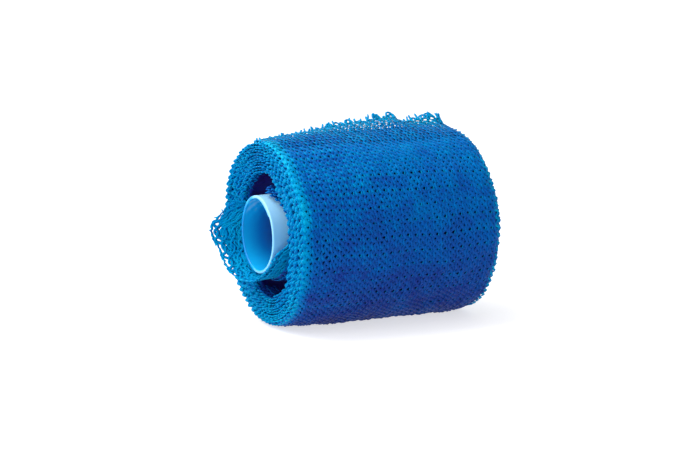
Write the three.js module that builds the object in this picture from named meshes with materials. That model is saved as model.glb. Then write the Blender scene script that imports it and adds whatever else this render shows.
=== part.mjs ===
// A roll of fibreglass casting tape: an open knitted tape wound on a thin plastic core.
// Millimetres, +Z up. The roll lies along X with its open end, the one that shows the core, at -X.
// The origin is the middle of the small flat on which the roll rests.
// A turn angle, in degrees, goes round the axis of the roll: 0 faces the front (-Y), 90 the top,
// 180 the back and 270 the surface below. The tape is wound so that this angle grows outwards.
import * as THREE from "three";

// Driving dimensions
const tapeWidth = 77; // a 3 inch tape, a little slack
const tapeThickness = 1;
const clearance = 0.3; // between pieces that touch
const rollRadius = 33.7; // at mid length
const axisHeight = 32.9; // a little less than the radius
const flat = { halfWidth: 7, halfLength: 35.5, sag: 1 }; // where the soft roll has settled on the surface
const coreRadius = 14; // outside
const coreWall = 1.1;
const coreLength = 78;
const coreShow = 1.9; // how far the core stands out of the open end
const coreEdge = 0.35; // rounding of the core's cut edges

// The wound body
const barrel = { near: 1.0, far: 0.6, power: 2.4 }; // how much thinner the roll gets towards each end
const shoulder = { near: 2.4, far: 5 }; // rounding between the outer turns and the end faces
const lean = 1.3; // the turns have slid: the top is this far towards -X, the bottom towards +X
const faceDish = 1.3; // how much lower the inner turns lie on an end face than the outer ones
const outerPack = { inside: 21.2, rise: 1.3, widest: 310 }; // inner radius of the tight outer turns there
const innerPack = { outside: 16.2, depth: 3.4 }; // the few turns that hug the core, and their depth
const boreRadius = coreRadius + clearance;
const boreRows = 5; // stretches of the bore
const farFace = [
  // the closed end: share of the way from the bore to the rounded shoulder, and share of the dish
  { out: 0, dish: 1 },
  { out: 0.35, dish: 0.9 },
  { out: 0.75, dish: 0.4 },
];
const pockets = [
  // the gaps between the inner and the outer turns, seen at the open end
  { from: 52, to: 158, depth: 10 },
  { from: 232, to: 330, depth: 9 },
];
const pocketWall = { outer: 0.9, inner: 0.6, steep: 0.75, full: 0.45 }; // how its walls and ends slope
const unevenness = [
  // slow waves of the outer radius: waves round the roll, size, angle of a crest, waves along it
  { round: 2, size: 0.3, crest: 75, along: 0 },
  { round: 3, size: 0.22, crest: 20, along: 0 },
  { round: 5, size: 0.14, crest: 40, along: 1 },
  { round: 7, size: 0.1, crest: 10, along: 2 },
];

// The outer loose end, over the top of the roll
const outerEnd = { root: 62, gap: 0.8, lifts: 72, cut: 106, curve: 1.8 }; // turn angles; how it bends up
const outerLift = [
  // height of the cut edge above the turn below, along the roll
  { x: -37, lift: 0 },
  { x: -22, lift: 0.4 },
  { x: -10, lift: 1.7 },
  { x: 6, lift: 3.2 },
  { x: 13, lift: 4.2 },
  { x: 18, lift: 2.8 },
  { x: 24, lift: 3.6 },
  { x: 30.5, lift: 5.0 },
];
const outerEdges = { near: -37.2, farAtRoot: 36, farAtCut: 30.5 }; // x of the two edges of the tape there

// The inner loose end, sprung out of the open end round the core
const innerEnd = [
  // turn angle, x of the free edge, radius at the edge in the roll and at the free edge
  { angle: 145, edge: -41.0, deep: 17.2, free: 19.2 },
  { angle: 160, edge: -44.8, deep: 16.8, free: 18.9 },
  { angle: 180, edge: -49.8, deep: 16.1, free: 18.8 },
  { angle: 205, edge: -47.8, deep: 15.4, free: 18.3 },
  { angle: 235, edge: -46, deep: 14.8, free: 18.0 },
  { angle: 262, edge: -43.6, deep: 14.4, free: 16.6 },
  { angle: 285, edge: -42.4, deep: 14.3, free: 14.5 },
  { angle: 310, edge: -42.2, deep: 14.3, free: 14.3 },
  { angle: 328, edge: -40.8, deep: 14.3, free: 14.3 },
  { angle: 350, edge: -37.4, deep: 14.3, free: 14.3 },
];

// How finely each piece is divided
const steps = {
  rollRound: 84,
  rollAlong: 12,
  nearArc: 3,
  farArc: 5,
  core: 64,
  outerRound: 14,
  outerAcross: 22,
  innerRound: 26,
  innerAcross: 7,
};

const halfWidth = tapeWidth / 2;
const layer = tapeThickness + clearance;
const radians = THREE.MathUtils.degToRad;
const { lerp, smoothstep } = THREE.MathUtils;

// A point at a turn angle, a radius from the axis and a place along it.
function around(angle, radius, x) {
  const a = radians(angle);
  return new THREE.Vector3(x, -radius * Math.cos(a), axisHeight + radius * Math.sin(a));
}

// A column of a table at a place between its rows, along a Catmull-Rom spline.
function between(table, key, column, place) {
  const last = table.length - 1;
  let i = 0;
  while (i < last - 1 && place > table[i + 1][key]) i++;
  const row = (k) => table[THREE.MathUtils.clamp(k, 0, last)];
  const span = row(i + 1)[key] - row(i)[key];
  const t = THREE.MathUtils.clamp((place - row(i)[key]) / span, 0, 1);
  const slope = (k) =>
    ((row(k + 1)[column] - row(k - 1)[column]) / (row(k + 1)[key] - row(k - 1)[key])) * span;
  const [a, b] = [row(i)[column], row(i + 1)[column]];
  const [t2, t3] = [t * t, t * t * t];
  const fromFirst = (2 * t3 - 3 * t2 + 1) * a + (t3 - 2 * t2 + t) * slope(i);
  const fromSecond = (3 * t2 - 2 * t3) * b + (t3 - t2) * slope(i + 1);
  return fromFirst + fromSecond;
}

// Joins sections with equal numbers of points into one closed surface. A ring joins its last section to
// its first. Otherwise each end section is closed by a strip between its first and second halves.
function loft(sections, ring) {
  const count = sections[0].length;
  const index = [];
  const at = (i, j) => (i % sections.length) * count + (j % count);
  for (let i = 0; i < (ring ? sections.length : sections.length - 1); i++)
    for (let j = 0; j < count; j++) {
      const [a, b, c, d] = [at(i, j), at(i + 1, j), at(i + 1, j + 1), at(i, j + 1)];
      index.push(a, b, c, a, c, d);
    }
  const last = sections.length - 1;
  for (let j = 0; !ring && j < count / 2 - 1; j++) {
    const k = count - 1 - j;
    index.push(at(0, j), at(0, j + 1), at(0, k - 1));
    index.push(at(0, j), at(0, k - 1), at(0, k));
    index.push(at(last, j), at(last, k), at(last, k - 1));
    index.push(at(last, j), at(last, k - 1), at(last, j + 1));
  }
  const geometry = new THREE.BufferGeometry();
  const numbers = sections.flat().flatMap((point) => point.toArray());
  geometry.setAttribute("position", new THREE.Float32BufferAttribute(numbers, 3));
  geometry.setIndex(index);
  geometry.computeVertexNormals();
  return geometry;
}

// How far the top of the roll has slid towards -X and its bottom towards +X: the outer turns most.
function slide(angle, radius) {
  const share = Math.max(0, (radius - innerPack.outside) / (rollRadius - innerPack.outside));
  return -lean * Math.sin(radians(angle)) * share;
}

// The outer radius of the turn below the loose end, and of the last turn everywhere else.
// It grows by one layer in a turn, from the cut of the tape round to the root of the loose end.
function turnRadius(angle, x) {
  const u = x / halfWidth;
  const thinner = (u < 0 ? barrel.near : barrel.far) * Math.abs(u) ** barrel.power;
  const waves = unevenness.reduce((sum, wave) => {
    const round = Math.cos(radians(wave.round * (angle - wave.crest)));
    return sum + wave.size * round * Math.cos(Math.PI * wave.along * u);
  }, 0);
  const turn = 360 + outerEnd.root - outerEnd.cut;
  const past = (((angle - outerEnd.cut) % 360) + 360) % 360;
  const wound = past >= turn ? 0 : past / turn;
  return rollRadius - thinner + waves - layer * (1 - wound);
}

// How deep the open end is hollowed between the inner and the outer turns.
function pocketDepth(angle) {
  const deepest = (pocket) => {
    const middle = (pocket.from + pocket.to) / 2;
    const off = Math.abs(angle - middle) / (pocket.to - middle);
    return lerp(pocket.depth, innerPack.depth, smoothstep(off, pocketWall.full, 1));
  };
  return Math.max(...pockets.map(deepest));
}

// The wound tape cut along the axis at one turn angle: a closed line round its outside and its bore.
function rollSection(angle) {
  const line = [];
  const add = (x, radius) => {
    const point = around(angle, radius, x + slide(angle, radius));
    const settled = Math.abs(point.y) < flat.halfWidth && Math.abs(point.x) < flat.halfLength;
    if (point.z < (settled ? flat.sag : 0)) point.z = 0;
    line.push(point);
  };
  const arc = (side, size, count) => {
    for (let k = 0; k <= count; k++) {
      const a = (k / count) * (Math.PI / 2);
      const t = side < 0 ? a : Math.PI / 2 - a;
      const x = side * (halfWidth - size + size * Math.sin(t));
      add(x, turnRadius(angle, side * (halfWidth - size)) - size + size * Math.cos(t));
    }
  };
  // the closed end
  const farRim = turnRadius(angle, halfWidth) - shoulder.far;
  farFace.forEach(({ out, dish }) => add(halfWidth - faceDish * dish, lerp(boreRadius, farRim, out)));
  arc(1, shoulder.far, steps.farArc);
  // the outside
  for (let k = 1; k < steps.rollAlong; k++) {
    const x = lerp(halfWidth - shoulder.far, -halfWidth + shoulder.near, k / steps.rollAlong);
    add(x, turnRadius(angle, x));
  }
  // the open end: the outer turns, the pocket and the turns that hug the core
  arc(-1, shoulder.near, steps.nearArc);
  const inside = outerPack.inside + outerPack.rise * Math.cos(radians(angle - outerPack.widest));
  const nearRim = turnRadius(angle, -halfWidth) - shoulder.near;
  const depth = pocketDepth(angle);
  add(-halfWidth + faceDish / 3, lerp(nearRim, inside, 0.5));
  add(-halfWidth + faceDish, inside);
  add(-halfWidth + lerp(faceDish, depth, pocketWall.steep), inside - pocketWall.outer);
  add(-halfWidth + depth, lerp(inside, innerPack.outside, 0.5));
  add(-halfWidth + lerp(innerPack.depth, depth, pocketWall.steep), innerPack.outside + pocketWall.inner);
  add(-halfWidth + innerPack.depth, innerPack.outside);
  add(-halfWidth + innerPack.depth, boreRadius);
  // the bore
  const [boreFrom, boreTo] = [-halfWidth + innerPack.depth, halfWidth - faceDish];
  for (let k = 1; k < boreRows; k++) add(lerp(boreFrom, boreTo, k / boreRows), boreRadius);
  return line;
}

function woundRoll() {
  const angles = [];
  for (let k = 0; k < steps.rollRound; k++) angles.push(outerEnd.root + (360 * k) / steps.rollRound);
  angles.push(outerEnd.root + 360 - outerEnd.gap); // just before the step down to the turn below
  return loft(angles.map(rollSection), true);
}

// The plastic core: a thin tube with rounded cut edges.
function coreTube() {
  const start = -halfWidth - coreShow;
  const [inner, outer, edge] = [coreRadius - coreWall, coreRadius, coreEdge];
  const profile = [
    [inner + edge, start],
    [outer - edge, start],
    [outer, start + edge],
    [outer, start + coreLength - edge],
    [outer - edge, start + coreLength],
    [inner + edge, start + coreLength],
    [inner, start + coreLength - edge],
    [inner, start + edge],
    [inner + edge, start],
  ].map(([radius, x]) => new THREE.Vector2(radius, x));
  return new THREE.LatheGeometry(profile, steps.core);
}

// A sheet of tape between two edges: the loop round its section at each turn angle.
function tapeSection(angle, across, thickness, place) {
  const line = [];
  for (let k = 0; k <= across; k++) line.push({ ...place(k / across), up: thickness });
  for (let k = across; k >= 0; k--) line.push({ ...place(k / across), up: 0 });
  return line.map(({ radius, x, up }) => around(angle, radius + up, x));
}

function outerLooseEnd() {
  const sections = [];
  for (let k = 0; k <= steps.outerRound; k++) {
    const along = k / steps.outerRound;
    const angle = lerp(outerEnd.root + outerEnd.gap, outerEnd.cut, along);
    const rise = Math.max(0, (angle - outerEnd.lifts) / (outerEnd.cut - outerEnd.lifts)) ** outerEnd.curve;
    const farEdge = lerp(outerEdges.farAtRoot, outerEdges.farAtCut, along);
    const place = (t) => {
      const eased = (1 - Math.cos(Math.PI * t)) / 2; // finer at the shoulders
      const x = lerp(farEdge, outerEdges.near, eased);
      const lift = clearance + rise * between(outerLift, "x", "lift", x);
      const radius = tapeEdgeRadius(angle, x);
      return { x: x + slide(angle, radius), radius: radius + lift };
    };
    sections.push(tapeSection(angle, steps.outerAcross, tapeThickness, place));
  }
  return loft(sections, false);
}

// The radius of the turn below the loose end, which also follows the rounded shoulders of the roll.
function tapeEdgeRadius(angle, x) {
  const drop = (side, size) => {
    const past = Math.min(size, Math.max(0, side * x - (halfWidth - size)));
    return size - Math.sqrt(size * size - past * past);
  };
  return turnRadius(angle, x) - drop(-1, shoulder.near) - drop(1, shoulder.far);
}

function innerLooseEnd() {
  const sections = [];
  const deepEdge = -halfWidth + innerPack.depth - clearance;
  const [first, last] = [innerEnd[0].angle, innerEnd[innerEnd.length - 1].angle];
  for (let k = 0; k <= steps.innerRound; k++) {
    const angle = lerp(first, last, k / steps.innerRound);
    const at = (column) => between(innerEnd, "angle", column, angle);
    const place = (t) => {
      return { x: lerp(deepEdge, at("edge"), t), radius: lerp(at("deep"), at("free"), t * t) };
    };
    sections.push(tapeSection(angle, steps.innerAcross, tapeThickness, place));
  }
  return loft(sections, false);
}

const tapeBlue = { color: 0x1666b8, roughness: 0.5, metalness: 0 };
const coreBlue = { color: 0xa9d6f3, roughness: 0.35, metalness: 0 };

function piece(name, geometry, look) {
  const mesh = new THREE.Mesh(geometry, new THREE.MeshStandardMaterial(look));
  mesh.name = name;
  return mesh;
}

const core = piece("core_tube", coreTube(), coreBlue);
core.rotation.z = -Math.PI / 2; // the lathe's axis, Y, is laid along X
core.position.z = axisHeight;

const group = new THREE.Group();
group.add(
  piece("wound_roll", woundRoll(), tapeBlue),
  core,
  piece("outer_end", outerLooseEnd(), tapeBlue),
  piece("inner_end", innerLooseEnd(), tapeBlue),
);

export default group;
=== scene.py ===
import bpy
import numpy as np
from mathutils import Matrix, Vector


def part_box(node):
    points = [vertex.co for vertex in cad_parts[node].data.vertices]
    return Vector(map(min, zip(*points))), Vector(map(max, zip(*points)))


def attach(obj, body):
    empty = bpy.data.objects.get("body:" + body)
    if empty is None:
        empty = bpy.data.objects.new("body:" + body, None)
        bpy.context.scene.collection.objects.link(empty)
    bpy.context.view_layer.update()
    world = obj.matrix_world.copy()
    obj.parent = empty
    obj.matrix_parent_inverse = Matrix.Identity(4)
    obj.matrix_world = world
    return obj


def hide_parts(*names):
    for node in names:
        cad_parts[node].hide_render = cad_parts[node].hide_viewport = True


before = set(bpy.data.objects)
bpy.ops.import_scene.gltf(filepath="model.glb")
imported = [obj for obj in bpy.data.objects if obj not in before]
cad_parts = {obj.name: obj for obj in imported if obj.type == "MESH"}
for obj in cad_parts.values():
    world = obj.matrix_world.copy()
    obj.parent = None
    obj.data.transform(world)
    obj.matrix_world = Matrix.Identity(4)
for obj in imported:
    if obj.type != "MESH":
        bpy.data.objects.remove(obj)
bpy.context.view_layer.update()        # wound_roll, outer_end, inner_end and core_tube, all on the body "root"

mm = 0.001

# Everything is worked out in millimetres round the roll's axis: x along it, and a turn angle in degrees
# that is 0 at the front, 90 on top, 180 at the back and 270 below. Turns further in are angles further back.
coreLow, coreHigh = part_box("core_tube")
roll = {
    "axisHeight": (coreLow.z + coreHigh.z) / 2 / mm,
    "coreRadius": (coreHigh.z - coreLow.z) / 2 / mm,
    "coreStart": coreLow.x / mm, "coreEnd": coreHigh.x / mm,
    "halfWidth": 38.5,       # half of the tape
    "radius": 33.7,          # at mid length, outside the last turn
    "barrelNear": 1.0, "barrelFar": 0.6, "barrelPower": 2.4,
    "shoulderNear": 2.4, "shoulderFar": 5.8,
    "lean": 1.3,             # the top has slid towards -x and the bottom towards +x
    "dish": 1.3,
    "drop": 1.3,             # the last turn lies this much higher than the one before
    "yarnMiddle": 0.45,      # the middle of a yarn lies this far under the outside
    "rootAngle": 62.0, "liftAngle": 72.0, "cutAngle": 106.0,
    "insideRadius": 21.2, "insideRise": 0.9, "insideWidest": 310.0,
    "innerPack": 16.2, "innerDepth": 3.4,
}
lastTurn = roll["rootAngle"] - roll["cutAngle"] + 360       # degrees from a turn before the cut to the root
# of each wave: how many go round the roll, its size, the turn angle of a crest, and how many go along
waves = [(2, 0.3, 75, 0), (3, 0.22, 20, 0), (5, 0.14, 40, 1), (7, 0.1, 10, 2)]


def linearColor(code):
    # each channel: c / 12.92 when dark, otherwise ((c + 0.055) / 1.055) to the power 2.4
    c = np.array([int(code[i:i + 2], 16) / 255 for i in (1, 3, 5)])
    c = np.where(c < 0.04045, c / 12.92, ((c + 0.055) / 1.055) ** 2.4)
    return (*c.tolist(), 1.0)


def smooth(t):
    # 0 below 0, 1 above 1, and 3t^2 - 2t^3 between
    t = np.clip(t, 0, 1)
    return t * t * (3 - 2 * t)


def tableCurve(rows, place):
    # a smooth curve through (place, value) rows: cubic pieces with the slopes of the rows either side
    rows = np.asarray(rows, float)
    key, value = rows[:, 0], rows[:, 1]
    slope = np.gradient(value, key)
    place = np.clip(place, key[0], key[-1])
    i = np.clip(np.searchsorted(key, place, "right") - 1, 0, len(key) - 2)
    span = key[i + 1] - key[i]
    t = (place - key[i]) / span
    return ((2 * t**3 - 3 * t**2 + 1) * value[i] + (t**3 - 2 * t**2 + t) * span * slope[i]
            + (3 * t**2 - 2 * t**3) * value[i + 1] + (t**3 - t**2) * span * slope[i + 1])


def around(angle, radius, x):
    # the point at a turn angle, a radius from the axis and a place along it
    a = np.radians(angle)
    return np.stack(np.broadcast_arrays(x, -radius * np.cos(a), roll["axisHeight"] + radius * np.sin(a)), -1)


def foldAngle(angle):
    # whole turns are taken off or added until the angle is within one turn before the cut
    return np.mod(angle - roll["cutAngle"], 360) + roll["cutAngle"] - 360


def outerRadius(angle, x):
    # outside of the last turn: radius - barrel*|u|^power + waves - drop*(1 - wound), where wound goes from 0
    # a turn before the cut to 1 at the root
    u = x / roll["halfWidth"]
    thinner = np.where(u < 0, roll["barrelNear"], roll["barrelFar"]) * np.abs(u) ** roll["barrelPower"]
    rippled = sum(size * np.cos(np.radians(about * (angle - crest))) * np.cos(np.pi * along * u)
                  for about, size, crest, along in waves)
    wound = np.clip((angle - roll["cutAngle"] + 360) / lastTurn, -2, 1)
    wound = np.where(wound < 0, wound * lastTurn / 360 * 0.8, wound)     # further in, a turn is thinner
    return roll["radius"] - thinner + rippled - roll["drop"] * (1 - wound)


def slide(angle, radius):
    # the lean of the turns, from nothing at the core to its full size outside
    share = np.clip((radius - roll["innerPack"]) / (roll["radius"] - roll["innerPack"]), 0, None)
    return -roll["lean"] * np.sin(np.radians(angle)) * share


def wander(seed, s, v, size, length):
    # a smooth uneven field over the tape: six sine waves of random direction, length and phase
    g = np.random.default_rng(seed)
    total = 0
    for k in range(6):
        turn, wave, phase = g.uniform(0, np.pi), length * g.uniform(0.6, 1.7), g.uniform(0, 2 * np.pi)
        total = total + np.sin(2 * np.pi * (s * np.cos(turn) + v * np.sin(turn)) / wave + phase)
    return total * size / 2.4


def putMesh(name, points, quads, triangles=()):
    # numpy points in millimetres, quads as rows of four numbers and triangles as rows of three become a mesh
    # object at the origin
    mesh = bpy.data.meshes.new(name)
    points = np.asarray(points, np.float32).reshape(-1, 3) * mm
    quads, triangles = np.asarray(quads, np.int32), np.asarray(triangles, np.int32).reshape(-1, 3)
    corners = np.concatenate([quads.ravel(), triangles.ravel()])
    starts = np.concatenate([np.arange(len(quads)) * 4, quads.size + np.arange(len(triangles)) * 3])
    mesh.vertices.add(len(points))
    mesh.vertices.foreach_set("co", points.ravel())
    mesh.loops.add(len(corners))
    mesh.loops.foreach_set("vertex_index", corners)
    mesh.polygons.add(len(starts))
    mesh.polygons.foreach_set("loop_start", starts.astype(np.int32))
    mesh.polygons.foreach_set("use_smooth", np.ones(len(starts), bool))
    mesh.update(calc_edges=True)
    mesh.validate()
    thing = bpy.data.objects.new(name, mesh)
    bpy.context.scene.collection.objects.link(thing)
    return thing


def ringQuads(rounds, rows):
    # the quads of a grid closed both ways, whose point (i, j) has the number i*rows + j
    i, j = (k.ravel() for k in np.meshgrid(np.arange(rounds), np.arange(rows), indexing="ij"))
    iNext, jNext = (i + 1) % rounds, (j + 1) % rows
    return np.stack([i * rows + j, i * rows + jNext, iNext * rows + jNext, iNext * rows + j], -1)


def sweepYarn(path, up, radius, sides, flat=1.0):
    # rings of points round each path: centre + radius * (flat * cos * normal + sin * binormal), joined by
    # quads, with each end drawn in to a twentieth and closed by a fan of triangles. path and up are
    # (yarns, points, 3), radius fits both
    along = np.gradient(path, axis=1)
    along /= np.linalg.norm(along, axis=2, keepdims=True) + 1e-9
    normal = up - (up * along).sum(2, keepdims=True) * along
    normal /= np.linalg.norm(normal, axis=2, keepdims=True) + 1e-9
    side = np.cross(along, normal)
    yarns, count = path.shape[:2]
    radius = np.broadcast_to(radius, (yarns, count)).copy()
    radius[:, [0, -1]] *= 0.05
    turn = np.arange(sides) * 2 * np.pi / sides + np.pi / sides
    ring = flat * np.cos(turn)[:, None] * normal[:, :, None] + np.sin(turn)[:, None] * side[:, :, None]
    points = path[:, :, None] + radius[:, :, None, None] * ring
    i = (np.arange(yarns)[:, None, None] * count + np.arange(count - 1)[None, :, None]) * sides
    j, k = np.arange(sides), (np.arange(sides) + 1) % sides
    quads = np.stack([i + j, i + k, i + sides + k, i + sides + j], -1).reshape(-1, 4)
    first, fan = np.arange(yarns)[:, None] * count * sides, np.arange(1, sides - 1)[None, :]
    last = first + (count - 1) * sides
    caps = np.concatenate([np.stack(np.broadcast_arrays(first, first + fan + 1, first + fan), -1),
                           np.stack(np.broadcast_arrays(last, last + fan, last + fan + 1), -1)])
    return points.reshape(-1, 3), quads, caps.reshape(-1, 3)


def joinYarns(sets):
    # one list of points, quads, caps and tones from several
    points, quads, caps, paintedShadings, start = [], [], [], [], 0
    for p, q, c, t in sets:
        points.append(p)
        quads.append(q + start)
        caps.append(c + start)
        paintedShadings.append(t)
        start += len(p)
    return [np.concatenate(part) for part in (points, quads, caps, paintedShadings)]


def putPaintedShading(piece, paintedShadings):
    # how light the yarn is painted, 0 to 1, for its material: painted light and shade
    piece.data.attributes.new("tone", "FLOAT", "POINT").data.foreach_set("value", paintedShadings.astype(np.float32))


# The knit: chains of loops along the tape, and two laid-in yarns in each gap between chains. They cross at
# every course, so that a large hole and a small one follow each other in each gap.
knit = {
    "walePitch": 3.04, "coursePitch": 2.66,
    "loopBack": 0.3, "loopHalf": 0.26, "loopSlant": 1.15, "loopRise": 0.1,
    "chainYarn": 0.5, "chainFlat": 0.42,
    "inlayYarn": 0.775, "inlayFlat": 0.26, "inlayReach": 0.06, "inlayRise": 0.06, "small": 0.62,
    "shut": 0.08, "shutFrom": 8, "shutOver": 30,      # the holes are smaller towards the open end
    "tieYarn": 0.21, "tieFlat": 0.9, "tieReach": 0.3, "tieAside": 0.36, "tieSink": 0.35,
    "edgeHalf": 0.45, "edgeThick": 1.15, "edgeLump": 0.25, "scallop": 0.3,
}
repeat = 2 * knit["coursePitch"]
girth = 39 * repeat                     # one turn of the last layer, a whole number of repeats
meanRadius = girth / (2 * np.pi)


def chainFlat(wales, start, end, points, edge=(True, True), seed=1):
    # each chain is a stretched, slanted cycloid: along = pitch*t - back*sin(2 pi t),
    # across = half*cos(2 pi t + slant), height = -rise*cos(2 pi t); edge chains follow the scallops
    pitch = knit["coursePitch"]
    first = np.ceil(start / pitch)
    courses = int((end - first * pitch) / pitch)
    t = np.linspace(first, first + courses, courses * points + 1)[None, :]
    wales = np.asarray(wales, float)[:, None]
    shift = np.random.default_rng(seed).uniform(-0.2, 0.2, wales.shape)
    rough = 1 + wander(seed + 5, t * pitch, wales * 3, 0.25, 7)
    half = np.full(wales.shape, knit["loopHalf"])
    out = np.zeros(wales.shape)
    for on, row, way in ((edge[0], 0, -1), (edge[1], -1, 1)):
        if on:
            half[row], out[row] = knit["edgeHalf"], way
    s = pitch * (t + shift) - knit["loopBack"] * rough * np.sin(2 * np.pi * t)
    v = wales + half * rough * np.cos(2 * np.pi * t + knit["loopSlant"])
    v = v + out * knit["scallop"] * (np.cos(2 * np.pi * s / pitch) + 0.6 * np.sin(2 * np.pi * s / repeat))
    h = -knit["loopRise"] * np.cos(2 * np.pi * t) + 0 * v
    return s, v, h


def inlayFlat(wales, start, end, points, small=knit["small"]):
    # two yarns in each gap: across = middle +- reach*w, w = ((1 + small)*b + (1 - small)*|b|)/2 and
    # b = sin(pi t)*|sin(pi t)|, t in courses; height = +- rise*cos(pi t), so that they cross
    pitch = knit["coursePitch"]
    count = int(np.ceil((end - start) / pitch * points)) + 1
    s = np.linspace(start, end, count)[None, :]
    t = s / pitch
    wales = np.asarray(wales, float)
    gap = ((wales[1:] + wales[:-1]) / 2)[:, None]
    reach = ((wales[1:] - wales[:-1]) / 2)[:, None] - knit["inlayReach"]
    reach = reach * (1 - knit["shut"] * smooth((knit["shutFrom"] - gap) / knit["shutOver"]))
    wave = np.sin(np.pi * t) * np.abs(np.sin(np.pi * t))
    swing = ((1 + small) * wave + (1 - small) * np.abs(wave)) / 2
    lift = knit["inlayRise"] * np.cos(np.pi * t) + 0 * gap
    v = np.concatenate([gap + reach * swing, gap - reach * swing])
    v = v + 0.1 * np.sin(s * 2.1 + 7 * gap[0]) * np.sin(s * 0.63 + 3 * v)      # small differences
    return np.concatenate([s + 0 * gap, s + 0 * gap]), v, np.concatenate([lift, -lift]) - 0.08


def tieFlat(wales, start, end, points):
    # one thin yarn in each gap, seen only where it slants across a large hole: across = middle + aside +
    # reach*cos(pi t), height = -sink*(1 - sin(pi t)), t in courses
    pitch = knit["coursePitch"]
    s = np.linspace(start, end, int(np.ceil((end - start) / pitch * points)) + 1)[None, :]
    wales = np.asarray(wales, float)
    gap = ((wales[1:] + wales[:-1]) / 2)[:, None]
    shift = 0.35 * np.sin(gap * 5.7 + s * 0.21)
    v = gap + knit["tieAside"] + knit["tieReach"] * np.cos(np.pi * s / pitch + shift)
    return s + 0 * gap, v, 0.05 - knit["tieSink"] * (1 - np.sin(np.pi * s / pitch)) + 0 * v


def uneven(s, v, seed, size=1.0):
    # the whole net is pulled about a little: along, across and off the surface
    return (s + wander(seed, s, v, 0.45 * size, 26), v + wander(seed + 1, s, v, 0.3 * size, 22),
            wander(seed + 2, s, v, 0.14 * size, 12))


def netYarns(flat, place, kind, sides, seed, size=1.0, thick=1.0, edgeRows=(), tone=0.4):
    # lays flat yarns on a surface: place(s, v, h) gives points, and a step off it gives the way up
    s, v, h = flat
    su, vu, hu = uneven(s, v, seed, size)
    path = place(su, vu, h + hu)
    up = place(su, vu, h + hu + 0.5) - path
    radius = thick * knit[kind + "Yarn"] * (1 + wander(seed + 9, s, v * 5, 0.08, 5))
    paintedShadings = np.broadcast_to(tone, s.shape).copy()
    if edgeRows:
        rows = list(edgeRows)
        lumps = np.cos(2 * np.pi * s[rows] / knit["coursePitch"] + 0.8)
        radius[rows] *= knit["edgeThick"] * (1 + knit["edgeLump"] * lumps)
        # painted highlight: the lumps of the edge chains are painted lighter
        paintedShadings[rows] += 0.12 * lumps
    return *sweepYarn(path, up, radius, sides, knit[kind + "Flat"]), np.repeat(paintedShadings.ravel(), sides)


def netPiece(name, sets, nodes=()):
    # one piece from several sets of yarns, none of it lower than the floor
    points, quads, caps, paintedShadings = joinYarns(sets)
    points[:, 2] = np.maximum(points[:, 2], 0.02)
    print(name, len(quads) * 2 + len(caps), "triangles")
    piece = putMesh(name, points, quads, caps)
    putPaintedShading(piece, paintedShadings)
    return finishPiece(piece, tapeYarn, nodes)


def finishPiece(piece, material, nodes=()):
    # gives a piece its material, its body, its slot and the CAD nodes that it stands for
    piece.data.materials.clear()
    piece.data.materials.append(material)
    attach(piece, "root")
    if nodes:
        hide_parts(*nodes)
    return piece


def addNode(tree, kind, settings=None, links=None):
    # one node: its settings by name, its inputs as values, or as (node, output) to link
    node = tree.nodes.new(kind)
    for key, value in (settings or {}).items():
        setattr(node, key, value)
    for key, value in (links or {}).items():
        if isinstance(value, tuple) and isinstance(value[0], bpy.types.Node):
            tree.links.new(value[0].outputs[value[1]], node.inputs[key])
        else:
            node.inputs[key].default_value = value
    return node


def stepRamp(tree, source, steps):
    # a colour ramp with a step for each (place, colour)
    ramp = addNode(tree, "ShaderNodeValToRGB", {}, {"Fac": source})
    steppers = ramp.color_ramp.elements
    while len(steppers) < len(steps):
        steppers.new(1.0)
    for step, (place, code) in zip(steppers, steps):
        step.position, step.color = place, linearColor(code)
    return ramp


def newMaterial(name):
    # an empty node tree to build a finish in
    material = bpy.data.materials.new(name)
    material.use_nodes = True
    material.node_tree.nodes.clear()
    return material, material.node_tree


# Glass yarn coated with blue polyurethane resin. Its colour steps are painted light and shade: cyan for
# painted light where it is thin and lit, royal blue where it lies close, violet for painted shade deep down.
# Its sheen is the resin's
tapeLook = {
    "steps": [(0.0, "#281a60"), (0.18, "#1c3890"), (0.36, "#0a58ae"), (0.5, "#0072be"), (0.7, "#0094cc"),
              (1.0, "#10b8e2")],
    "through": "#0090dc", "share": 0.25, "tint": "#30c4f4",
    "roughness": 0.45, "ior": 1.52, "specular": 0.07,
    "patch": 1 / 0.007, "patchTone": 0.25,     # patches of 7 mm, and how much lighter they are
    "fibre": 1 / 0.0004,                      # filaments lie finer than this; they are drawn to show
    "bump": 0.35, "bumpDepth": 0.0001,
}


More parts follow.
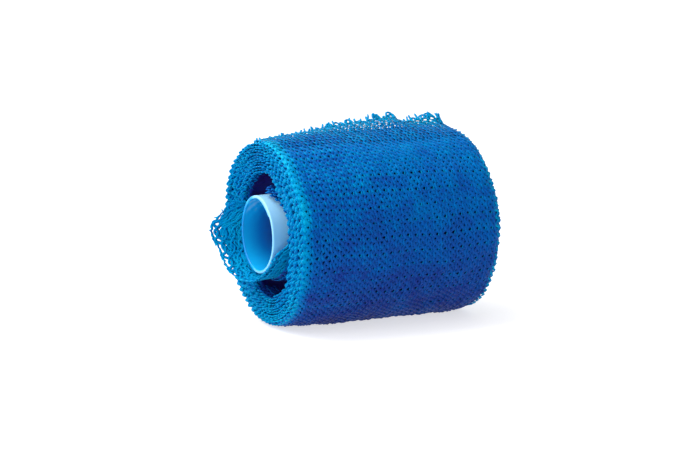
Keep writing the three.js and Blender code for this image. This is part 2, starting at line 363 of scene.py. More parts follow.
def yarnMaterial(name, look):
    # a yarn's painted light and shade plus soft patches gives its colour, its filaments are a fine bump, and a
    # share of the light comes through
    material, tree = newMaterial(name)
    coords = addNode(tree, "ShaderNodeTexCoord")
    tone = addNode(tree, "ShaderNodeAttribute", {"attribute_name": "tone"})
    patches = addNode(tree, "ShaderNodeTexNoise", {}, {"Vector": (coords, "Object"), "Scale": look["patch"],
                                                      "Detail": 4.0, "Roughness": 0.65})
    spread = addNode(tree, "ShaderNodeMapRange", {"clamp": False}, {"Value": (patches, "Fac"),
                     "To Min": -look["patchTone"], "To Max": look["patchTone"]})
    light = addNode(tree, "ShaderNodeMath", {"operation": "ADD"}, {0: (tone, "Fac"), 1: (spread, "Result")})
    color = stepRamp(tree, (light, 0), look["steps"])
    fibres = addNode(tree, "ShaderNodeTexNoise", {}, {"Vector": (coords, "Object"), "Scale": look["fibre"],
                                                     "Detail": 2.0})
    bump = addNode(tree, "ShaderNodeBump", {}, {"Strength": look["bump"], "Distance": look["bumpDepth"],
                                                "Height": (fibres, "Fac")})
    gloss = addNode(tree, "ShaderNodeBsdfPrincipled", {}, {
        "Base Color": (color, "Color"), "Roughness": look["roughness"], "IOR": look["ior"],
        "Specular IOR Level": look["specular"], "Specular Tint": linearColor(look["tint"]),
        "Normal": (bump, "Normal")})
    through = addNode(tree, "ShaderNodeBsdfTranslucent", {}, {"Color": linearColor(look["through"])})
    both = addNode(tree, "ShaderNodeMixShader", {}, {0: look["share"], 1: (gloss, 0), 2: (through, 0)})
    addNode(tree, "ShaderNodeOutputMaterial", {}, {"Surface": (both, 0)})
    return material


# Painted board, matt
floorLook = {"color": "#b0b0b4", "roughness": 0.8, "glow": 0.64}


def plainMaterial(name, look):
    # one colour, with a plain glow of its own
    material, tree = newMaterial(name)
    shade = addNode(tree, "ShaderNodeBsdfPrincipled", {}, {"Base Color": linearColor(look["color"]),
                    "Roughness": look["roughness"], "Emission Color": (1, 1, 1, 1),
                    "Emission Strength": look["glow"]})
    addNode(tree, "ShaderNodeOutputMaterial", {}, {"Surface": (shade, 0)})
    return material


# The camera first: the photograph's angle, worked out from the roll's outline
camera = {
    "azimuth": -27.07, "elevation": 9.80, "lens": 117.98,
    "distance": 0.8, "target": (-0.00526, 0, 0.03069),      # metres
}


def putCamera():
    # the eye is at target + distance*(sin(a)*cos(e), -cos(a)*cos(e), sin(e)) and looks at the target
    a, e = np.radians(camera["azimuth"]), np.radians(camera["elevation"])
    back = Vector((np.sin(a) * np.cos(e), -np.cos(a) * np.cos(e), np.sin(e)))
    data = bpy.data.cameras.new("camera")
    data.lens, data.sensor_width = camera["lens"], 36
    data.clip_start, data.clip_end = 0.05, 20
    eye = bpy.data.objects.new("camera", data)
    eye.location = Vector(camera["target"]) + back * camera["distance"]
    eye.rotation_mode = "QUATERNION"
    eye.rotation_quaternion = (-back).to_track_quat("-Z", "Y")
    bpy.context.scene.collection.objects.link(eye)
    bpy.context.scene.camera = eye


board = {
    # metres
    "front": -4, "back": 1.6, "side": 4, "bend": 0.7, "bendOver": 0.9, "backRise": 0.9,
    "bankFrom": 3, "bankRise": 0.6,
    "rows": 90, "columns": 65,
}


def putStage():
    # a pale floor that runs up into a backdrop behind the roll, and into low banks at its other edges:
    # height = rise*(1 - cos(90 degrees * share of the way past the bend)), the largest of the three
    rows, columns = board["rows"], board["columns"]
    y = np.linspace(board["front"], board["back"], rows)[:, None]
    x = np.linspace(-board["side"], board["side"], columns)[None, :]

    def bank(rise, past):
        return rise * (1 - np.cos(np.clip(past, 0, 1) * np.pi / 2))

    behind = bank(board["backRise"], (y - board["bend"]) / board["bendOver"])
    sides = bank(board["bankRise"], np.abs(x) - board["bankFrom"])
    front = bank(board["bankRise"], -board["bankFrom"] - y)
    height = np.maximum(np.maximum(behind, sides), front)
    points = np.stack(np.broadcast_arrays(x, y, height), -1).reshape(-1, 3) / mm
    i = (np.arange(rows - 1)[:, None] * columns + np.arange(columns - 1)[None, :]).ravel()
    floor = putMesh("floor", points, np.stack([i, i + 1, i + columns + 1, i + columns], -1))
    floor.data.materials.append(plainMaterial("mattBoard", floorLook))


studio = {
    "view": "Standard", "world": 0.68,
    # name: place in metres, size in metres, watts
    "lamps": {"overhead": ((-0.35, 0.25, 0.8), 0.8, 9.0), "side": ((-0.9, -0.2, 0.6), 0.8, 6.0)},
}


def putLights():
    # a plain white world, and round soft lamps that face the roll
    scene = bpy.context.scene
    scene.view_settings.view_transform = studio["view"]
    world = bpy.data.worlds.new("studio")
    world.use_nodes = True
    world.node_tree.nodes["Background"].inputs[0].default_value = (1, 1, 1, 1)
    world.node_tree.nodes["Background"].inputs[1].default_value = studio["world"]
    scene.world = world
    for name, (place, size, watts) in studio["lamps"].items():
        light = bpy.data.lights.new(name, "AREA")
        light.shape, light.size, light.energy = "DISK", size, watts
        lamp = bpy.data.objects.new(name, light)
        lamp.location = place
        lamp.rotation_mode = "QUATERNION"
        lamp.rotation_quaternion = (Vector((0, 0, 0.03)) - Vector(place)).to_track_quat("-Z", "Y")
        scene.collection.objects.link(lamp)


putCamera()
putLights()
putStage()
print("camera, lights and stage are set")

tapeYarn = yarnMaterial("resinCoatedGlassYarn", tapeLook)
# how light each kind of yarn is painted: painted shade for the deep and sunk layers, painted light where light
# comes through the loose end and the edges
tone = {"deep": 0.04, "sunk": 0.22, "laidIn": 0.38, "chain": 0.4, "tie": 0.6, "loose": 0.66, "edge": 0.72}
# painted light and shade: how much lighter the edges, the top and the chains' slanted strokes are painted, and
# how much darker below
rim = {"from": 33, "over": 5, "farOver": 1.6, "low": -0.04, "swing": 0.16,
       "stroke": 0.16, "strokeFrom": 6, "strokeOver": 26}


def paintedRimShading(base, s, v, stroke=0):
    # painted light: lighter towards the open end and on top, and painted shade below, by swing*sin(angle).
    # Chains have a painted highlight at each course, where they slant: stroke*(-sin(2 pi s/pitch + slant)),
    # strongest towards the open end
    angle = np.radians(roll["cutAngle"]) - s / meanRadius
    edges = smooth((-v - rim["from"]) / rim["over"]) + smooth((v - roll["halfWidth"]) / rim["farOver"] + 1.2)
    light = base + (tone["edge"] - base) * edges
    slant = -np.sin(2 * np.pi * s / knit["coursePitch"] + knit["loopSlant"])
    near = 0.2 + 0.8 * smooth((rim["strokeFrom"] - v) / rim["strokeOver"])
    near = near * (0.4 + 0.6 * smooth(2 * np.sin(angle) - 0.2))
    return light + rim["low"] + rim["swing"] * np.sin(angle) + stroke * rim["stroke"] * slant * near


def onRoll(turnsIn=0.0, lift=None, drift=None):
    # s runs back from the cut of the tape, v across it. The edges are drawn in round the shoulders:
    # past the start of a shoulder, x = start + size*sin(a) and the radius drops by size*(1 - cos(a))
    def place(s, v, h):
        angle = roll["cutAngle"] - np.degrees(s / meanRadius) - 360 * turnsIn
        if drift is not None:
            v = v + drift(v)
        near, far, half = roll["shoulderNear"], roll["shoulderFar"], roll["halfWidth"]
        aNear = np.clip((-v - (half - near)) / near, 0, 0.9)
        aFar = np.clip((v - (half - far)) / far, 0, 1.1)
        x = np.clip(v, near - half, half - far) - near * np.sin(aNear) + far * np.sin(aFar)
        radius = outerRadius(angle, x) - roll["yarnMiddle"] + h
        radius = radius - (near + h) * (1 - np.cos(aNear)) - (far + h) * (1 - np.cos(aFar))
        x = x - h * np.sin(aNear) + h * np.sin(aFar)
        if lift is not None:
            radius = radius + lift(angle, x)
        points = around(angle, radius, x + slide(angle, radius))
        floor = 0.3 + (h + roll["yarnMiddle"]) * 0.35 + 1.05 * turnsIn
        points[..., 2] = np.maximum(points[..., 2], floor)
        return points
    return place


rootLength = np.radians(roll["cutAngle"] - roll["rootAngle"]) * meanRadius
tapeHalf = 37.9
wales = np.linspace(-tapeHalf, tapeHalf, 26)

overlap = knit["coursePitch"]           # the loose end goes on from here in one piece with the last turn


def laidNet(flats, kind, sides, base, **more):
    # yarns on the last turn, with painted light at the near edge
    light = paintedRimShading(tone[base], flats[0], flats[1], kind == "chain")
    return netYarns(flats, onRoll(), kind, sides, 11, tone=light, **more)


laidFrom = rootLength - overlap
netPiece("outer_turn_chains", [
    laidNet(chainFlat(wales, laidFrom, girth, 10), "chain", 5, "chain", edgeRows=(0, -1)),
], ["wound_roll"])
netPiece("outer_turn_laid_in", [laidNet(inlayFlat(wales, laidFrom, girth, 6), "inlay", 4, "laidIn")])
netPiece("outer_turn_ties", [laidNet(tieFlat(wales, laidFrom, girth, 4), "tie", 3, "tie")])
print("the last turn is knitted")

# The turn below is the same net, a little off from the one above, and more so towards the open end
under = {
    "along": 0.6, "across": 0.5, "drift": 1.3, "driftFrom": 5, "driftOver": 22,
    # painted shade: the turn below is painted darker than the last turn
    "thick": 0.84, "tone": 0.2,
    "raised": 1.2, "raisedAt": 89, "raisedOver": 28,           # under the loose end it fills the step
}


def underDrift(v):
    # across + drift, which grows towards the open end, and fades out at both edges
    fade = smooth((roll["halfWidth"] - np.abs(v)) / 4)
    return fade * (under["across"] + under["drift"] * smooth((under["driftFrom"] - v) / under["driftOver"]))


def shifted(flat, along):
    # the same yarns further along the tape
    return flat[0] + along, flat[1], flat[2]


def underLift(angle, x):
    # raised*(1 - ((angle - raisedAt)/raisedOver)^2), for any whole number of turns, fading to both edges
    off = np.mod(angle - under["raisedAt"] + 180, 360) - 180
    fade = smooth((x + 31) / 14) * smooth((34 - x) / 9)
    return under["raised"] * np.clip(1 - (off / under["raisedOver"]) ** 2, 0, 1) * fade


onTurnBelow = onRoll(1.0, underLift, underDrift)
belowChains = shifted(chainFlat(wales, 0, girth, 5, seed=31), under["along"])
belowInlay = shifted(inlayFlat(wales, 0, girth, 4), under["along"])
netPiece("turn_below", [
    netYarns(belowChains, onTurnBelow, "chain", 4, 51, thick=under["thick"], tone=under["tone"]),
    netYarns(belowInlay, onTurnBelow, "inlay", 3, 51, thick=under["thick"], tone=under["tone"]),
])
print("the turn below is knitted")


def insideRadius(angle):
    # where the tight outer turns begin at the open end
    return roll["insideRadius"] + roll["insideRise"] * np.cos(np.radians(angle - roll["insideWidest"]))


# The gaps between the turns that hug the core and the outer ones, at the open end
pockets = [(56, 168), (232, 330)]        # from and to, as turn angles
pocket = {
    "full": 0.6, "depth": 9.5,           # the share of a gap at its full depth, and that depth
    "packed": 3.4,                       # outside a gap the outer turns begin this much further in
    "radius": 20,                        # for lengths along its walls
}


def pocketShare(angle, which=pockets):
    # 1 in the middle of a gap, 0 outside it, and a smooth step between at both ends
    angle = np.mod(angle, 360)
    share = 0
    for start, end in which:
        middle = (start + end) / 2
        off = np.abs(np.mod(angle - middle + 180, 360) - 180) / (end - middle)
        share = np.maximum(share, 1 - smooth((off - pocket["full"]) / (1 - pocket["full"])))
    return share


def pocketDepth(angle):
    # from the depth of the turns round the core to the depth of a gap, by its share
    return roll["innerDepth"] + (pocket["depth"] - roll["innerDepth"]) * pocketShare(angle)


def packedBy(angle):
    # how much further in the outer turns begin: packed*(1 - share)
    return pocket["packed"] * (1 - pocketShare(angle))


# The wound turns under the knit: one closed surface, 2.3 mm inside, painted dark as painted shade
turns = {"under": 2.3, "rounds": 240, "rows": 120, "bore": 14.45, "packBack": 5.5,
         "faceFrom": 34.6, "faceOver": 1.4}


def woundTurns():
    # a closed line through (x, radius) places at each turn angle, drawn round the axis; between the places
    # it is a Catmull-Rom curve by its length
    angle = np.arange(turns["rounds"]) * 360 / turns["rounds"]
    folded = foldAngle(angle)
    one = np.ones_like(angle)
    inside, depth = insideRadius(angle), pocketDepth(angle)
    pack = -34.6 + turns["packBack"] * pocketShare(angle, pockets[:1])       # the turns round the core
    filled = packedBy(angle)
    deep = -roll["halfWidth"] + depth + 1.0

    def outside(x, more=0.0):
        return (x * one, outerRadius(folded, x * one) - turns["under"] - more + underLift(angle, x))

    rim = outside(-36.0)[1]
    places = [(34.9 * one, turns["bore"] * one), (35.2 * one, 20 * one), (35.9 * one, 25 * one),
              outside(35.8, 4.0), outside(34.6, 1.4), outside(32.0, 0.3)]
    places += [outside(x) for x in (26, 18, 9, 0, -9, -18, -26, -32)]
    places += [outside(-34.6, 0.1), outside(-36.0, 0.7), (-36.9 * one, rim - 2.2),
               (-36.6 * one, (rim + inside - filled) / 2), (-35.6 * one, inside + 1.0 - filled),
               (-34.8 + 0.5 * (depth - 3.4), inside + 0.8 - filled), (deep - 0.5, inside - 0.8 - filled),
               (deep, (inside - filled + 16.6) / 2), (np.maximum(deep - 1.0, pack + 0.8), 16.9 * one),
               (pack, 16.1 * one), (pack + 0.3, turns["bore"] * one), (-20 * one, turns["bore"] * one),
               (0 * one, turns["bore"] * one), (20 * one, turns["bore"] * one)]
    line = np.array(places).transpose(2, 0, 1)                    # angles, places, (x, radius)
    count = line.shape[1]
    t = np.arange(turns["rows"]) * count / turns["rows"]
    i = t.astype(int)
    f = (t - i)[None, :, None]
    a, b, c, d = (line[:, (i + k) % count] for k in (-1, 0, 1, 2))
    curve = b + 0.5 * f * (c - a + f * (2 * a - 5 * b + 4 * c - d + f * (3 * (b - c) + d - a)))
    x, radius = curve[..., 0], curve[..., 1]
    points = around(angle[:, None], radius, x + slide(angle[:, None], radius))
    points[..., 2] = np.maximum(points[..., 2], 1.2)
    quads = ringQuads(*x.shape)[:, [0, 3, 2, 1]]         # the line runs the other way round here
    print("wound_turns", len(quads) * 2, "triangles")
    body = putMesh("wound_turns", points, quads)
    # painted shade: the body is painted dark, as it lies in shade under the knit; the end faces are painted
    # nearly as light as the turns' edges on them
    onFace = smooth((np.abs(x) - turns["faceFrom"]) / turns["faceOver"]).ravel()
    putPaintedShading(body, tone["deep"] + (tone["chain"] + 0.1 - tone["deep"]) * onFace)
    return finishPiece(body, tapeYarn)


woundTurns()


def spiral(radiusAt, turnsFrom, turnsTo):
    # the arc length of a spiral against its total turn angle, to lay yarns by length
    turned = np.linspace(turnsFrom * 360, turnsTo * 360, int((turnsTo - turnsFrom) * 90) + 1)
    radius = radiusAt(turned)
    step = np.radians(np.diff(turned)) * (radius[1:] + radius[:-1]) / 2
    return turned, np.concatenate([[0], np.cumsum(step)])


# The edges of the turns on the end faces. "first" and "last" count turns in from the outside
openEnd = {"first": 0.9, "last": 13.4, "at": -36.0, "jitter": 0.34,
           "crest": 2.6, "rounding": 0.9, "dish": 1.3}
closedEnd = {"first": 0.9, "last": 17.5, "at": 30.0, "inside": 14.9, "jitter": 0.3}
innerTurns = {
    "turns": 4, "outside": 16.6, "inside": 14.35, "jitter": 0.25, "sunk": 1.2,
    # turn angle, x of the edge nearest the core
    "edge": [(-60, -35.2), (-2, -35.5), (19, -34.9), (41, -35.2), (60, -36.6), (74, -37.6), (86, -37.4),
             (96, -33.5), (106, -31), (160, -31), (200, -34), (240, -35.2), (300, -35.2)],
}


def plainRadius(angle, x):
    # outside of the roll without the step of the last turn: the drop is added again
    folded = foldAngle(angle)
    wound = np.clip((folded - roll["cutAngle"] + 360) / lastTurn, 0, 1)
    return outerRadius(folded, x) + roll["drop"] * (1 - wound) - roll["yarnMiddle"]


def openEndRadius(turned):
    # a spiral from the outside to where the outer turns begin: outer + (inner - outer)*share of the turns
    angle = roll["rootAngle"] - turned
    share = (turned / 360) / openEnd["last"]
    inner = insideRadius(angle) + 0.3 - packedBy(angle)
    outer = plainRadius(angle, openEnd["at"])
    return outer + (inner - outer) * share


def onOpenEnd(s, v, h, table=spiral(openEndRadius, openEnd["first"], openEnd["last"])):
    # s runs along the spiral inwards, v in from the edge of the tape
    turned = np.interp(s, table[1], table[0])
    angle = roll["rootAngle"] - turned
    radius = openEndRadius(turned)
    outer = plainRadius(angle, openEnd["at"])
    drop = outer - radius
    full = np.maximum(outer - insideRadius(angle), 4)
    x = -38.45 + openEnd["rounding"] * np.clip(1 - drop / openEnd["crest"], 0, 1) ** 2
    x = x + openEnd["dish"] * np.clip((drop - openEnd["crest"]) / (full - openEnd["crest"]), 0, 1.6)
    turn = turned / 360
    x = x + openEnd["jitter"] * (np.sin(turn * 2.1 * np.pi + 1.1 * np.sin(np.radians(angle)))
                                 + 0.6 * np.sin(np.radians(3 * angle) + turn * 4.0)
                                 + 0.5 * np.sin(np.radians(8 * angle) + turn * 9.0))
    radius = radius + 0.16 * np.sin(np.radians(5 * angle) + turn * 5.0) + h
    return around(angle, radius, x + v + slide(angle, radius))


edgeWales = np.array([0.35, 3.2])
length = spiral(openEndRadius, openEnd["first"], openEnd["last"])[1][-1]
edgeChain = chainFlat(edgeWales[:1], 0, length, 8, (True, False), 61)
# painted light on the outer turns' edges, a little less further in
netPiece("open_end_turns", [
    netYarns(edgeChain, onOpenEnd, "chain", 4, 63, 0.6, 1.15, (0,),
             tone["edge"] + (tone["chain"] + 0.2 - tone["edge"]) * smooth(edgeChain[0] / length * 1.15)),
    netYarns(inlayFlat(edgeWales, 0, length, 4), onOpenEnd, "inlay", 3, 63, 0.6, 0.8,
             tone=tone["chain"] + 0.1),
])


def innerRadius(turned):
    # a spiral from the outside of the turns round the core to their inside, and wider where there is no gap
    angle = 300 - turned
    outer = innerTurns["outside"] + 0.9 * (1 - pocketShare(angle))
    return outer + (innerTurns["inside"] - outer) * turned / 360 / innerTurns["turns"]


def onInnerTurns(s, v, h, table=spiral(innerRadius, 0, innerTurns["turns"])):
    # the edge follows a table round the core, and each turn further out is sunk a little more
    turned = np.interp(s, table[1], table[0])
    angle = 300 - turned
    radius = innerRadius(turned) + h
    edge = tableCurve(innerTurns["edge"], np.mod(angle + 60, 360) - 60)
    x = edge + innerTurns["sunk"] * (1 - turned / 360 / innerTurns["turns"])
    x = x + innerTurns["jitter"] * np.sin(turned / 57 + 0.7 * np.sin(np.radians(2 * angle)))
    return around(angle, radius, x + v)


length = spiral(innerRadius, 0, innerTurns["turns"])[1][-1]
# painted shade: the turns round the core lie sunk and are painted darker
netPiece("turns_round_the_core", [
    netYarns(chainFlat(edgeWales[:1], 0, length, 8, (True, False), 65), onInnerTurns, "chain", 4, 67,
             0.6, 0.8, (0,), tone["laidIn"]),
    netYarns(inlayFlat(edgeWales, 0, length, 4), onInnerTurns, "inlay", 3, 67, 0.6, 0.7, tone=tone["sunk"]),
])


def closedEndRadius(turned):
    # a spiral from the outside in to the core: outer + (inside - outer)*share of the turns
    angle = roll["rootAngle"] - turned
    outer = plainRadius(angle, closedEnd["at"])
    return outer + (closedEnd["inside"] - outer) * (turned / 360) / closedEnd["last"]


def onClosedEnd(s, v, h, table=spiral(closedEndRadius, closedEnd["first"], closedEnd["last"])):
    turned = np.interp(s, table[1], table[0])
    angle = roll["rootAngle"] - turned
    radius = closedEndRadius(turned)
    drop = plainRadius(angle, closedEnd["at"]) - radius
    far = roll["shoulderFar"]
    x = roll["halfWidth"] - far + np.sqrt(np.maximum(far ** 2 - (far - np.clip(drop, 0, far)) ** 2, 0))
    x = x - roll["dish"] * np.clip((drop - far) / 14, 0, 1)
    turn = turned / 360
    x = x - 0.3 + closedEnd["jitter"] * (np.sin(turn * 2.3 * np.pi + 1.3 * np.sin(np.radians(angle)))
                                         + 0.6 * np.sin(np.radians(3 * angle) + turn * 4.0))
    radius = radius + 0.16 * np.sin(np.radians(5 * angle) + turn * 5.0) + h
    return around(angle, radius, x - v + slide(angle, radius))


length = spiral(closedEndRadius, closedEnd["first"], closedEnd["last"])[1][-1]
netPiece("closed_end_turns", [
    netYarns(chainFlat(edgeWales[:1], 0, length, 8, (True, False), 71), onClosedEnd, "chain", 4, 73,
             0.6, 0.8, (0,), tone["loose"]),
    netYarns(inlayFlat(edgeWales, 0, length, 3), onClosedEnd, "inlay", 3, 73, 0.6, 0.7, tone=tone["laidIn"]),
])
print("the end faces are knitted")


def onPocketWall(outerWall):
    # s is a turn angle times the wall's radius, v the depth from the edge of the turns
    def place(s, v, h):
        angle = np.degrees(s / pocket["radius"])
        wall = insideRadius(angle) + 0.6 - h if outerWall else 16.6 + 0 * angle + h
        start = -roll["halfWidth"] + (roll["dish"] if outerWall else roll["innerDepth"])
        return around(angle, wall, start + v)
    return place


pocketSets = []
for start, end in pockets[1:]:
    s0, s1 = np.radians(start + 4) * pocket["radius"], np.radians(end - 4) * pocket["radius"]
    for outerWall in (True, False):
        onWall = onPocketWall(outerWall)
        wallWales = 0.8 + knit["walePitch"] * np.arange(3 if outerWall else 2)
        wallChains = chainFlat(wallWales, s0, s1, 6, (False, False), 81)
        wallInlay = inlayFlat(wallWales, s0, s1, 5)
        # painted shade: the laid-in yarns on the walls are painted darker
        pocketSets.append(netYarns(wallChains, onWall, "chain", 4, 83, 0.5, tone=tone["chain"]))
        pocketSets.append(netYarns(wallInlay, onWall, "inlay", 4, 83, 0.5, tone=tone["sunk"]))
netPiece("pocket_walls", pocketSets)

# The outer loose end
outerEnd = {
    # height of the cut edge along x
    "lift": [(-38, -1.2), (-34, -0.6), (-22, 0.3), (-10, 1.5), (2, 2.9), (6, 2.9), (13, 3.9), (18.4, 3.7),
             (22.3, 2.2), (26, 2.6), (31.5, 4.0), (38, 5.2)],
    "curve": 1.8, "curl": 2.2, "curlFrom": 20, "curlOver": 12,      # it stays down longer at its far corner
    "bunched": 0.2, "bunchedOver": 7.0, "lightOver": 16,
    "drawnIn": 0.3, "rowAt": 8.0, "openFrom": 20,
}


def outerLift(angle, x):
    # how far the loose end stands off the turn below: the height of its cut edge, growing from the lift angle
    share = np.clip((angle - roll["liftAngle"]) / (roll["cutAngle"] - roll["liftAngle"]), 0, 1.6)
    curl = outerEnd["curl"] * smooth((x - outerEnd["curlFrom"]) / outerEnd["curlOver"])
    return share ** (outerEnd["curve"] + curl) * tableCurve(outerEnd["lift"], x)


def paintedLooseShading(base, s):
    # painted light: lighter towards the cut, where light comes through
    return base + (tone["loose"] + 0.1 - base) * smooth(1 - s / outerEnd["lightOver"])


def drawnIn(flat):
    # the holes are drawn in, by this share of each yarn's way off the middle of its gap, but for one row of
    # them near the cut and the far corner
    s, v, h = flat
    gap = np.tile((wales[1:] + wales[:-1]) / 2, 2)[:, None]
    row = np.exp(-((s - outerEnd["rowAt"]) / 1.4) ** 2) * smooth((gap + 4) / 8)
    opened = np.maximum(row, smooth((gap - outerEnd["openFrom"]) / 4) * smooth((9 - s) / 2))
    return s, gap + (v - gap) * (1 - outerEnd["drawnIn"] * (1 - opened)), h


looseChain = chainFlat(wales, 0, rootLength, 12)
looseInlay = drawnIn(inlayFlat(wales, 0, rootLength, 8))
bunching = smooth(1 - looseInlay[0] / outerEnd["bunchedOver"])     # the yarns lie closer near the cut
loose = netPiece("outer_loose_end", [
    netYarns(looseChain, onRoll(0, outerLift), "chain", 5, 11, thick=0.75, edgeRows=(0, -1),
             tone=paintedLooseShading(paintedRimShading(tone["chain"], looseChain[0], looseChain[1], 1), looseChain[0])),
    netYarns(looseInlay, onRoll(0, outerLift), "inlay", 3, 11, thick=0.98 + outerEnd["bunched"] * bunching,
             tone=paintedLooseShading(paintedRimShading(tone["laidIn"], looseInlay[0], looseInlay[1]), looseInlay[0])),
], ["outer_end"])


def strayFlat(places, length, reach, rise, points, seed):
    # a loose yarn: along = -length*t, across = place + reach*t + a wave, height = rise*t^2, each its own size
    g = np.random.default_rng(seed)
    places = np.asarray(places, float)[:, None]
    size = lambda low, high: g.uniform(low, high, places.shape)
    t = np.linspace(0, 1, points)[None, :]
    s = 1.0 - size(0.3, 1) * length * t
    v = places + size(-0.3, 1) * reach * t + size(-0.3, 0.3) * np.sin(size(3, 9) * t)
    return s, v, size(-0.3, 1) * rise * t ** 2 + 0.1


def loopFlat(rows, points):
    # loops that stand off the cut: across = place + width*(t - sin(2 pi t)/8 - 0.5),
    # along = -out*sin(pi t), height = up*sin(pi t)
    rows = np.asarray(rows, float)
    place, width, out, up = (rows[:, k:k + 1] for k in range(4))
    t = np.linspace(0, 1, points)[None, :]
    arch = np.sin(np.pi * t) ** 0.8
    return 0.6 - out * arch, place + width * (t - np.sin(2 * np.pi * t) / 8 - 0.5), up * arch


fray = {
    "places": np.repeat(wales, 3) + np.tile([-0.9, 0.0, 1.1], len(wales)),
    "length": 3.0, "reach": 1.8, "rise": 1.8,
    # loops at the cut: place across, width, how far out and how far up
    "loops": [(-7.1, 2.2, 1.2, 1.0), (-4.2, 2.0, 1.0, 0.9), (0.6, 2.4, 1.2, 0.9), (11.4, 1.2, 0.6, 1.7),
              (12.6, 0.9, 0.6, 1.2), (18.4, 3.4, 1.4, 1.7), (18.7, 2.0, 1.0, 1.1), (26.5, 2.4, 1.0, 0.6),
              (30.4, 3.2, 1.2, 0.5), (32.6, 3.0, 1.2, 0.5)],
}
frayYarns = strayFlat(fray["places"], fray["length"], fray["reach"], fray["rise"], 8, 91)
frayLoops = loopFlat(fray["loops"], 14)
frayed = netPiece("outer_loose_end_fray", [
    netYarns(frayYarns, onRoll(0, outerLift), "tie", 4, 11, thick=2.0, tone=tone["edge"]),
    netYarns(frayLoops, onRoll(0, outerLift), "tie", 5, 11, thick=1.9, tone=tone["edge"]),
])
print("the outer loose end is laid")

# The inner loose end: angle, x of the free edge, radius in the roll, radius at the free edge
innerEnd = {
    "edge": [(140, -40.4), (145, -41.0), (160, -44.8), (180, -49.8), (205, -47.8), (235, -46.0),
             (262, -43.6), (285, -42.4), (310, -42.2), (328, -40.8), (343, -39.3), (352, -36.5),
             (372, -34.6), (400, -34.2)],
    "deep": [(140, 17.4), (145, 17.2), (160, 16.8), (180, 16.1), (205, 15.4), (235, 14.9), (262, 14.7),
             (400, 14.7)],
    "free": [(140, 18.9), (145, 19.2), (160, 18.9), (180, 18.8), (205, 18.3), (235, 18.0), (262, 16.6),
             (285, 14.9), (310, 14.7), (400, 14.7)],
    "start": 154, "radius": 17.0, "depth": 14.5,
}


def onInnerEnd(s, v, h):
    # s runs from the cut end round the core, v is the distance in from the free edge
    angle = innerEnd["start"] + np.degrees(s / innerEnd["radius"])
    edge = tableCurve(innerEnd["edge"], angle)
    share = np.clip(1 - v / innerEnd["depth"], 0, 1.1)
    deep, free = tableCurve(innerEnd["deep"], angle), tableCurve(innerEnd["free"], angle)
    return around(angle, deep + (free - deep) * share ** 2 + h + 0.3, edge + v)


def foldedCut(end, points):
    # the cut end is turned over: three yarns side by side across the tape, along = 0.5*k + a small wave
    v = np.linspace(0.1, end, points)[None, :]
    side = np.array([[-0.3], [0.25], [0.8]])
    return side + 0.12 * np.sin(2.3 * v + 2 * side), v + 0 * side, 0.15 + 0.1 * np.sin(1.7 * v + 3 * side)


def strayEdge(rows, points):
    # short ends that stand out from the free edge: along = place + lean*t, across = 0.4 - length*t, and a
    # slight curl
    rows = np.asarray(rows, float)
    place, length, lean = (rows[:, k:k + 1] for k in range(3))
    t = np.linspace(0, 1, points)[None, :]
    return place + lean * t, 0.4 - length * t, 0.5 * np.sin(3 * t + place)


flapWales = np.concatenate([[0.35], 3.7 + 2.9 * np.arange(5)])
# place, length and lean of each stray end; the last ones roughen the edge over the core
rough = np.linspace(37, 61, 26)
strays = np.concatenate([
    [(3.2, 1.5, -0.9), (4.4, 1.1, 0.7), (9.3, 1.0, -0.8), (13.0, 0.9, 0.6), (20.5, 0.9, -0.6)],
    np.stack([rough, 0.7 + 0.5 * np.sin(7 * rough), 0.9 * np.cos(5 * rough)], -1),
])
flap = netPiece("inner_loose_end", [
    netYarns(chainFlat(flapWales, 0, 66, 12, (True, False), 41), onInnerEnd, "chain", 5, 71,
             0.6, 0.8, (0,), tone["edge"]),
    netYarns(inlayFlat(flapWales, 0, 66, 8, 0.35), onInnerEnd, "inlay", 3, 71, 0.6, 0.89, tone=tone["loose"]),
], ["inner_end"])
flapFray = netPiece("inner_loose_end_fray", [
    netYarns(foldedCut(13, 16), onInnerEnd, "chain", 5, 71, 0.4, 0.85, tone=tone["edge"]),
    netYarns(strayEdge(strays, 7), onInnerEnd, "chain", 4, 71, 0.6, 0.6, tone=tone["edge"]),
])


def onSecondTurn(s, v, h):
    # the turn behind the inner loose end: a little further out and further in
    return onInnerEnd(s, v + 2.2 + 0.5 * np.sin(s * 0.09), h + 0.4)


secondWales = 0.35 + 2.9 * np.arange(5)
# painted light: the turn behind the loose end is painted as light as the edges, against the shade between the
# layers
netPiece("second_inner_turn", [
    netYarns(chainFlat(secondWales, 5, 60, 10, (True, False), 43), onSecondTurn, "chain", 4, 75, 0.6,
             tone=tone["edge"]),
    netYarns(inlayFlat(secondWales, 5, 60, 7, 0.3), onSecondTurn, "inlay", 4, 75, 0.6, 1.4, tone=tone["edge"]),
])
print("the inner loose end is laid")

# The core: a thin tube with rounded edges, squeezed a little at the open end
core = {
    "wall": 1.1, "edge": 0.3, "rounds": 180, "rows": 30, "over": 30,
    # how far the open end is pushed in: everywhere, more in front, more on top, and the oval
    "push": 0.72, "front": 0.85, "top": 0.45, "oval": 0.13,
    "lip": 0.6, "lipFrom": 38, "lipTo": 100,
    "deepAt": 15,                             # how far in the light has gone
}


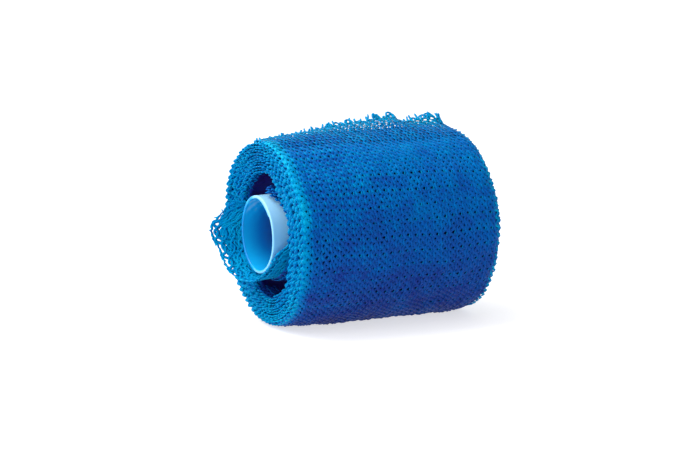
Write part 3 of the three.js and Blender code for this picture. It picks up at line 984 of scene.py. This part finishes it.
def coreSleeve():
    # a closed profile of (x, radius) places turned round the axis, with its edges as quarter arcs; near the
    # open end the radius shrinks by push + front*cos(a) + top*sin(a) + oval*cos(2a)
    outer, inner, edge = roll["coreRadius"], roll["coreRadius"] - core["wall"], core["edge"]
    start, end = roll["coreStart"], roll["coreEnd"]
    arc = np.linspace(0, np.pi / 2, 5)
    along = np.linspace(0, 1, core["rows"])[1:-1] ** 1.5
    xs = np.concatenate([start + edge - edge * np.cos(arc), start + edge + along * (end - start - 2 * edge),
                         end - edge + edge * np.sin(arc), end - edge + edge * np.cos(arc),
                         start + edge + along[::-1] * (end - start - 2 * edge),
                         start + edge - edge * np.sin(arc)])
    rs = np.concatenate([outer - edge + edge * np.sin(arc), 0 * along + outer,
                         outer - edge + edge * np.cos(arc), inner + edge - edge * np.sin(arc),
                         0 * along + inner, inner + edge - edge * np.cos(arc)])
    within = np.concatenate([np.zeros(5 + len(along) + 5), np.ones(5 + len(along) + 3), [0.7, 0.3]])
    angle = np.arange(core["rounds"])[:, None] * 360 / core["rounds"]
    a, depth = np.radians(angle), xs - start
    pushed = core["push"] + core["front"] * np.cos(a) + core["top"] * np.sin(a) + core["oval"] * np.cos(2 * a)
    lip = smooth((angle - core["lipFrom"]) / 4) * smooth((core["lipTo"] - angle) / 40) * smooth(2 - depth)
    wave = 0.05 * np.sin(3 * a + xs / 9) + 0.03 * np.sin(7 * a + xs / 5)
    radius = rs - pushed * smooth(1 - depth / core["over"]) - core["lip"] * lip * within + wave
    points = around(angle, radius, xs)
    quads = ringQuads(core["rounds"], len(xs))
    print("core_sleeve", len(quads) * 2, "triangles")
    sleeve = putMesh("core_sleeve", points, quads)
    # painted light and shade inside: 0 outside, 0.3 just inside and 1 deep in, less below, where light falls
    behind = smooth(-2 * np.cos(a) - 0.2) * (depth < 0.5)     # the rim at the back is in shade
    lit = 1 - 0.6 * smooth(-1.6 * np.sin(a) - 0.5)
    # painted shade: the outside is painted a little bluer lower down
    outside = 0.09 * smooth(0.9 - np.sin(a)) * (1 - within)
    stain = np.maximum(within * (0.3 + 0.7 * smooth(depth / core["deepAt"]) * lit), 0.5 * behind) + outside
    # painted highlight: pale wrinkled streaks inside the mouth, high up at the back
    paintedCreaseHighlight = np.exp(-((angle - 132) / 26) ** 2 - ((depth - 4) / 5) ** 2)
    stain = stain * (1 - paintedCreaseHighlight * (0.45 + 0.35 * np.sin(1.9 * depth + angle / 4)))
    inside = sleeve.data.attributes.new("stain", "FLOAT", "POINT")
    inside.data.foreach_set("value", stain.astype(np.float32).ravel())
    return sleeve


# Moulded polypropylene, milky outside. Inside it is painted with the light that comes through the blue turns,
# and with painted shade deep in
coreLook = {"steps": [(0.0, "#a2def8"), (0.28, "#0cb4ee"), (0.6, "#0a80ce"), (1.0, "#2a50a0")],
            "through": "#38b0f0", "roughness": 0.34, "ior": 1.49, "share": 0.2}


def plasticMaterial(name, look):
    # the painted light and shade gives the colour, with a soft gloss, and a share of the light comes through
    material, tree = newMaterial(name)
    stain = addNode(tree, "ShaderNodeAttribute", {"attribute_name": "stain"})
    color = stepRamp(tree, (stain, "Fac"), look["steps"])
    gloss = addNode(tree, "ShaderNodeBsdfPrincipled", {}, {"Base Color": (color, "Color"),
                    "Roughness": look["roughness"], "IOR": look["ior"], "Specular IOR Level": 0.4})
    through = addNode(tree, "ShaderNodeBsdfTranslucent", {}, {"Color": linearColor(look["through"])})
    both = addNode(tree, "ShaderNodeMixShader", {}, {0: look["share"], 1: (gloss, 0), 2: (through, 0)})
    addNode(tree, "ShaderNodeOutputMaterial", {}, {"Surface": (both, 0)})
    return material


finishPiece(coreSleeve(), plasticMaterial("milkyPolypropylene", coreLook), ["core_tube"])
print("the core is in")
